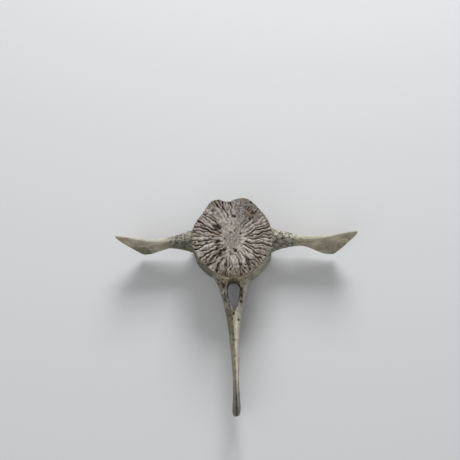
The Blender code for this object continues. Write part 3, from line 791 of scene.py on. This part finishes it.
def add_relief(mesh):
    """Moves each point along its normal by the relief, and stores the masks that the material reads."""
    points, normals = mesh_points(mesh), mesh_normals(mesh)
    zone = regions(points, normals)
    x, y, z = points.T
    bent, bent_more = bent_points(points, *SLIGHT_BEND), bent_points(points, *STRONG_BEND)
    fine, coarse = soft_noise(points, FINE_GRAIN, 31), soft_noise(points, COARSE_GRAIN, 32)
    grain = 0.6 * fine + 0.4 * coarse
    broad = soft_noise(points, UNDULATION, 51)
    face = np.clip(zone["tail_face"] + zone["head_face"], 0, 1)
    body_side = (1 - face) * fade(np.hypot(x, y), *DRUM_ZONE)
    worn, grainy = worn_share(points, coarse, zone["tail_end"]), grainy_share(points)
    ledge, hollow = above_canal(points, bent, body_side)

    # The furrows run out on the worn swelling
    furrows = furrow_depth(points, 5) * zone["tail_end"] * (1 - 0.75 * worn)
    furrows += furrow_depth(points, 23) * zone["head_end"]
    pits = spots(bent, FACE_PITS) * MM * zone["tail_face"]
    on_top = zone["back"] * fade(normals[:, 2], 0, 0.4)
    legs = groove_depth(bent_more, LEG_GROOVES) * on_top * (0.75 + 0.5 * coarse)
    shaft = np.maximum(groove_depth(bent, SPINE_GROOVES), spots(bent, BACK_PITS) * MM) * on_top
    # A hollow at the spine's tip. Its darkening is partly a groove and partly painted contact shadow low on
    # the tip's end
    from_hollow = sum(
        ((value - middle) / radius) ** 2
        for value, middle, radius in zip((x, z), TIP_HOLLOW_MIDDLE, TIP_HOLLOW_RADII)
    )
    tip_hollow = TIP_HOLLOW_DEPTH * np.exp(-0.5 * from_hollow)
    tip_hollow *= fade(-normals[:, 1], 0.5, 0.4) * fade(-y, 93 * MM, 2 * MM)

    porous = np.clip(zone["root"] + zone["arch"] + 0.6 * body_side, 0, 1)
    holes = np.maximum(pore_depth(points, porous, **LARGE_PORES), pore_depth(points, porous, **SMALL_PORES))
    face_holes = pore_depth(points, face * (0.8 + 0.2 * np.maximum(grainy, worn)), **FACE_PORES)

    cut = FURROW_DEPTH * furrows + pits + legs + shaft + tip_hollow + CANAL_HOLLOW * hollow
    cut += PORE_DEPTH * holes + FACE_PORE_DEPTH * face_holes + WORN_DEPTH * worn - LEDGE_RISE * ledge
    grain_height = face * FACE_GRAIN_HEIGHT * (1 + grainy) + (1 - face) * SIDE_GRAIN_HEIGHT
    rise = grain_height * (grain - 1) + (1 - face) * UNDULATION_HEIGHT * (broad - 1)
    moved = points + normals * (rise - cut)[:, None]
    moved[:, 2] = np.clip(moved[:, 2], 0, BODY_LENGTH)
    mesh.vertices.foreach_set("co", moved.ravel())
    mesh.update()

    # A band of painted shade along the canal's walls
    share = (-y - CANAL_FLOOR) / (CANAL_END - CANAL_FLOOR)
    from_canal = np.abs(x - CANAL_CENTRE) - canal_half_width(np.clip(share, 0, 1))
    canal_wall_shade = fade(from_canal - 0.3 * MM * coarse, 1.3 * MM, -1.3 * MM) * zone["arch"]
    canal_wall_shade *= (share > 0.1) * (share < 1.02)
    # Darkening from soil in the pits, grooves and pores, with painted shade there, and painted shade along
    # the canal's walls, in the canal floor's hollow and at the spine tip's low end
    dirt_and_shade = (1.2 * pits + legs + shaft + tip_hollow) / MM + 0.8 * holes + 0.5 * face_holes
    dirt_and_shade += 0.5 * canal_wall_shade + 0.1 * hollow
    stored = {
        **weathering(points, normals, zone, worn, ledge, hollow),
        "growth_face": face,
        "rim": fade(np.hypot(x, y) + 0.8 * MM * coarse, 20.3 * MM, 1.8 * MM) * face,
        "furrow": np.clip(furrows, 0, 1),
        "dirt_and_shade": np.clip(dirt_and_shade, 0, 1),
        "stain": spots(bent_more, FACE_STAINS) * zone["tail_end"],
        "grain": 0.5 + 0.5 * grain,
        "porous": porous,
        "grainy": np.maximum(grainy, 0.8 * worn) * face,
        "shaft": zone["shaft"],
        "tip": zone["tip"],
    }
    for name, values in stored.items():
        layer = mesh.attributes.new(name, "FLOAT", "POINT")
        layer.data.foreach_set("value", values.astype(np.float32))


# Material

def srgb(text):
    """A colour from #rrggbb to Blender's linear values."""
    values = [int(text[i:i + 2], 16) / 255 for i in (1, 3, 5)]
    return (*[v / 12.92 if v <= 0.04045 else ((v + 0.055) / 1.055) ** 2.4 for v in values], 1)


def add_node(tree, kind, inputs=(), **settings):
    """One node: settings are its own options, and inputs maps a socket to a value or to another's output."""
    node = tree.nodes.new("ShaderNode" + kind)
    for name, value in settings.items():
        setattr(node, name, value)
    for socket, value in dict(inputs).items():
        if isinstance(value, bpy.types.NodeSocket):
            tree.links.new(value, node.inputs[socket])
        else:
            node.inputs[socket].default_value = value
    return node


# Masks that add_relief() stored on the skin
MASKS = ("growth_face", "rim", "furrow", "dirt_and_shade", "stain", "grain", "porous", "grainy", "shaft", "tip",
         "pale", "white", "brown", "green", "specks", "ledge")

# Patterns of soft noise: the size of a patch in mm, how detailed, and how it is squeezed along each axis
NOISES = {
    "patches": (9, 3, (1, 1, 1)), "mottle": (2.2, 3, (1, 1, 1)), "fine_grain": (0.9, 3, (1, 1, 1)),
    "dark_grain": (1.3, 2, (1, 1, 1)), "film": (14, 4, (1, 1, 1)), "veins": (1.8, 2, (1, 1, 1)),
    "wing_streaks": (2.5, 4, (0.3, 1, 1)), "spine_streaks": (1.4, 4, (1, 0.22, 1)),
}

# Patterns of round dots, one to a cell: the size of a cell in mm, and the range of a dot's size against it
DOTS = {"face_dots": (0.95, 0.05, 0.45), "large_dots": (1.9, 0.12, 0.52), "small_dots": (1.2, 0.08, 0.48)}

# Finishes, each a base colour and the coats over it. A coat is a colour, or a finish from further up, and the
# factors of its share: a mask or pattern, a number, or a mask or pattern with the two values that it runs
# between and the shares that it has there.
FINISHES = {
    # Smooth bone of the wings, with brown veins and blots
    "wing_bone": (
        "#a29a84",
        ("#c2bba6", ("wing_streaks", 0.35, 0.65, 0, 1)),
        ("#7d5f47", ("vein", 0.02, 0.05, 0.8, 0), ("patches", 0.42, 0.56, 0, 1)),
        ("#8a6f5a", ("mottle", 0.5, 0.66, 0, 0.4), ("patches", 0.42, 0.56, 0, 1)),
    ),
    "spine_bone": ("#94866f", ("#bab29f", ("spine_streaks", 0.36, 0.56, 0, 1))),
    # Open-pored bone of the roots, the arch and the drum's side
    "root_bone": ("#5f5d4e", ("#9a978b", ("mottle", 0.4, 0.6, 0, 1))),
    # Ridges of the growth faces, with their spongy middle and their rim
    "spongy_bone": ("#969391", ("#332e2b", ("fine_grain", 0.45, 0.56, 0, 1))),
    "rim_bone": ("#77695b", ("#73735f", ("film", 0.44, 0.56, 0, 1))),
    "ridges": (
        "#aaa099",
        ("#bfbab6", ("patches", 0.4, 0.62, 0, 1)),
        ("spongy_bone", ("grainy", 0, 0.8, 0, 1)),
        ("#665f58", ("grain", 0.54, 0.3, 0, 0.8)),
        ("#6f685f", ("fine_grain", 0.47, 0.62, 0, 0.6)),
        ("rim_bone", "rim", 0.7),
        ("#322d28", "face_dots", ("grainy", 0, 1, 0.35, 0.9)),
    ),
    "bone": (
        "wing_bone",
        ("spine_bone", "shaft"),
        ("root_bone", "porous"),
        ("ridges", "growth_face"),
        # Bleached, soiled and green places, broken up by the mottling. The pale coat is also a painted
        # highlight on the wings' tail-side edges and painted light on the flanks that face +X, the green coat
        # is painted shade on the spine's flanks that face -X, the ledge's coat is a painted highlight, and
        # the white coat is partly painted light along the arch leg that faces +X
        ("#b9b7a6", "pale", ("mottle", 0.36, 0.56, 0.2, 0.9)),
        ("#9c8873", "brown", ("mottle", 0.3, 0.65, 0.6, 0.95)),
        ("#575a49", "green", ("mottle", 0.35, 0.65, 0.9, 0.5)),
        ("#dccaaf", "ledge", ("fine_grain", 0.4, 0.6, 1, 0.5)),
        ("#dad6c9", "white", ("fine_grain", 0.42, 0.6, 1, 0.45)),
        ("#7d7b5c", ("film", 0.5, 0.72, 0, 0.4), ("growth_face", 0, 1, 1, 0.3)),
        ("#6b6354", ("fine_grain", 0.5, 0.72, 0, 0.4)),
        ("#6b6a65", "tip", 0.75),
        ("#66503a", ("stain", 0.1, 1, 0, 0.75)),
        # Soil and painted shade in the furrows and pits, and painted shade along the canal's walls, in the
        # canal floor's hollow and at the spine tip's low end: brown on the furrows' flanks, nearly black at
        # the bottom
        ("#6b5c4d", ("furrow", 0.12, 0.42, 0, 0.6)),
        ("#2d251d", ("furrow", 0.3, 0.68, 0, 0.97)),
        ("#2e281d", ("dirt_and_shade", 0.08, 0.75, 0, 0.94)),
        # Dark specks and open pores
        ("#3d3c32", ("dark_grain", 0.52, 0.62, 0, 0.75), ("specks", 0.3, 1, 0, 1)),
        ("#26231a", "pores", 0.92),
        ("#322f24", "small_dots", ("specks", 0, 1, 0.1, 1), 0.8),
    ),
}


def weathered_bone():
    """Dry bone that lay outdoors: matt, chalky and open-pored, light grey-beige, with soil and painted shade
    in the furrows and pits, and a green film of algae where it stayed damp. Painted highlights lie on the
    wings' tail-side edges and the ledge, and painted light on the flanks that face +X. Painted shade lies on
    the spine's flanks that face -X, along the canal's walls and at the spine's tip."""
    material = bpy.data.materials.new("weathered_bone")
    material.use_nodes = True
    tree = material.node_tree
    shader = tree.nodes["Principled BSDF"]
    place = add_node(tree, "TexCoord").outputs["Object"]
    field = {name: add_node(tree, "Attribute", attribute_name=name).outputs["Fac"] for name in MASKS}
    for name, (size_mm, detail, squeeze) in NOISES.items():
        at = add_node(tree, "Mapping", {"Vector": place, "Scale": squeeze}).outputs[0]
        sockets = {"Vector": at, "Scale": 1000 / size_mm, "Detail": detail, "Roughness": 0.55}
        field[name] = add_node(tree, "TexNoise", sockets).outputs["Fac"]
    # A vein runs where the noise passes through its middle value
    off_middle = add_node(tree, "Math", {0: field["veins"], 1: 0.5}, operation="SUBTRACT").outputs[0]
    field["vein"] = add_node(tree, "Math", {0: off_middle}, operation="ABSOLUTE").outputs[0]
    for name, (size_mm, smallest, largest) in DOTS.items():
        cells = add_node(tree, "TexVoronoi", {"Vector": place, "Scale": 1000 / size_mm})
        sockets = {"Value": cells.outputs["Color"], 1: 0.2, 2: 1, 3: smallest, 4: largest}
        edge = add_node(tree, "MapRange", sockets, interpolation_type="SMOOTHSTEP").outputs[0]
        core = add_node(tree, "Math", {0: edge, 1: 0.6}, operation="MULTIPLY").outputs[0]
        sockets = {"Value": cells.outputs["Distance"], 1: core, 2: edge, 3: 1, 4: 0}
        field[name] = add_node(tree, "MapRange", sockets).outputs[0]

    def share(*factors):
        """The product of factors, each as FINISHES describes it."""
        product = None
        for factor in factors:
            if isinstance(factor, tuple):
                name, low, high, at_low, at_high = factor
                sockets = {"Value": field[name], 1: low, 2: high, 3: at_low, 4: at_high}
                factor = add_node(tree, "MapRange", sockets, interpolation_type="SMOOTHSTEP").outputs[0]
            elif isinstance(factor, str):
                factor = field[factor]
            if product is not None:
                factor = add_node(tree, "Math", {0: product, 1: factor}, operation="MULTIPLY").outputs[0]
            product = factor
        return product

    field["pores"] = share("large_dots", ("specks", 0, 1, 0.1, 1))
    finish = {}
    for name, (base, *coats) in FINISHES.items():
        colour = finish[base] if base in finish else srgb(base)
        for over, *factors in coats:
            over = finish[over] if over in finish else srgb(over)
            # Sockets 6 and 7 are the Mix node's two colours
            mixed = {0: share(*factors), 6: colour, 7: over}
            colour = add_node(tree, "Mix", mixed, data_type="RGBA").outputs[2]
        finish[name] = colour
    tree.links.new(finish["bone"], shader.inputs["Base Color"])

    tree.links.new(share(("mottle", 0.3, 0.7, 0.72, 0.92)), shader.inputs["Roughness"])
    heights = {0: field["fine_grain"], 1: field["pores"]}
    height = add_node(tree, "Math", heights, operation="SUBTRACT").outputs[0]
    bump = add_node(tree, "Bump", {"Strength": 0.6, "Distance": 0.15 * MM, "Height": height})
    tree.links.new(bump.outputs["Normal"], shader.inputs["Normal"])
    shader.inputs["IOR"].default_value = 1.5
    return material


def table_paint():
    """Matt pale paint, so that the bone's own colours stand out."""
    material = bpy.data.materials.new("pale_matt_paint")
    material.use_nodes = True
    shader = material.node_tree.nodes["Principled BSDF"]
    shader.inputs["Base Color"].default_value = srgb("#cfd0d2")
    shader.inputs["Roughness"].default_value = 0.8
    return material


# The bone

def make_bone():
    bone = closed_object("bone_skin", body_surface(), 1)
    joined = [
        closed_object("left_wing", wing_surface(1, *WING_LEFT), 2),
        closed_object("right_wing", wing_surface(-1, *WING_RIGHT), 3),
        closed_object("spine", spine_surface(), 4),
        closed_object("left_lobe", lobe_surface(1), 5),
        closed_object("right_lobe", lobe_surface(-1), 6),
    ]
    apply_boolean(bone, "UNION", joined)
    fair(bone.data, seam_edges(bone.data), JOINT_FAIRING, 60)
    canal_part = 7
    apply_boolean(bone, "DIFFERENCE", [closed_object("canal", canal_surface(), canal_part)])
    part = np.empty(len(bone.data.polygons), dtype=np.int32)
    bone.data.attributes["part"].data.foreach_get("value", part)
    bone.data.attributes["part"].data.foreach_set("value", (part == canal_part).astype(np.int32))
    fair(bone.data, seam_edges(bone.data), CANAL_FAIRING, 24)
    add_relief(bone.data)
    bone.data.materials.clear()
    bone.data.materials.append(weathered_bone())
    bone.data.shade_smooth()
    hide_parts("vertebra")
    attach(bone, "root")


# Floor, light and camera

def make_floor():
    mesh = bpy.data.meshes.new("floor")
    half = 2.0
    corners = [(-half, -half, 0), (half, -half, 0), (half, half, 0), (-half, half, 0)]
    mesh.from_pydata(corners, [], [(0, 1, 2, 3)])
    floor = bpy.data.objects.new("floor", mesh)
    bpy.context.scene.collection.objects.link(floor)
    mesh.materials.append(table_paint())


def area_light(name, place, size, watts, colour=(1, 1, 1)):
    """A square light at that place, turned to the bone."""
    light = bpy.data.lights.new(name, "AREA")
    light.size, light.energy, light.color = size, watts, colour
    obj = bpy.data.objects.new(name, light)
    obj.location = place
    obj.rotation_euler = (Vector((0, -0.02, 0.01)) - Vector(place)).to_track_quat("-Z", "Y").to_euler()
    bpy.context.scene.collection.objects.link(obj)


def make_light():
    # In the photo the light comes from above the upright bone, which is from +Y here
    area_light("window", (0.12, 0.82, 0.5), 0.4, 9.5)
    area_light("room", (-0.3, -0.45, 0.8), 0.9, 2.2)
    world = bpy.data.worlds.new("studio")
    world.use_nodes = True
    world.node_tree.nodes["Background"].inputs["Color"].default_value = (1, 1, 1, 1)
    world.node_tree.nodes["Background"].inputs["Strength"].default_value = 0.36
    bpy.context.scene.world = world
    bpy.context.scene.view_settings.view_transform = "Standard"


# The photo's view: how steeply the camera looks at the tail-end face, from how far, and how the bone is
# turned in the frame. The face's middle is at this pixel of the 460 x 460 picture, whose middle is 230, 230.
CAMERA_ELEVATION = math.radians(77.6)
CAMERA_DISTANCE = 0.525
CAMERA_ROLL = math.radians(-1.2)
FRAME_SIZE = 460
FOCAL_PIXELS = 958
FACE_PIXEL = (232, 237)


def make_camera():
    face_middle = Vector((0, 0, 28 * MM))
    back = Vector((0, -math.cos(CAMERA_ELEVATION), math.sin(CAMERA_ELEVATION)))
    right = Vector((1, 0, 0))
    up = back.cross(right)
    off_x = (FACE_PIXEL[0] - FRAME_SIZE / 2) / FOCAL_PIXELS
    off_y = (FACE_PIXEL[1] - FRAME_SIZE / 2) / FOCAL_PIXELS
    facing = Matrix((right, up, back)).transposed()
    aim = Matrix.Rotation(off_y, 3, right) @ Matrix.Rotation(off_x, 3, up)
    roll = Matrix.Rotation(CAMERA_ROLL, 3, back)
    data = bpy.data.cameras.new("camera")
    data.sensor_width = 36
    data.lens = data.sensor_width * FOCAL_PIXELS / FRAME_SIZE
    camera = bpy.data.objects.new("camera", data)
    place = Matrix.Translation(face_middle + back * CAMERA_DISTANCE)
    camera.matrix_world = place @ (roll @ aim @ facing).to_4x4()
    bpy.context.scene.collection.objects.link(camera)
    bpy.context.scene.camera = camera


make_bone()
make_floor()
make_light()
make_camera()
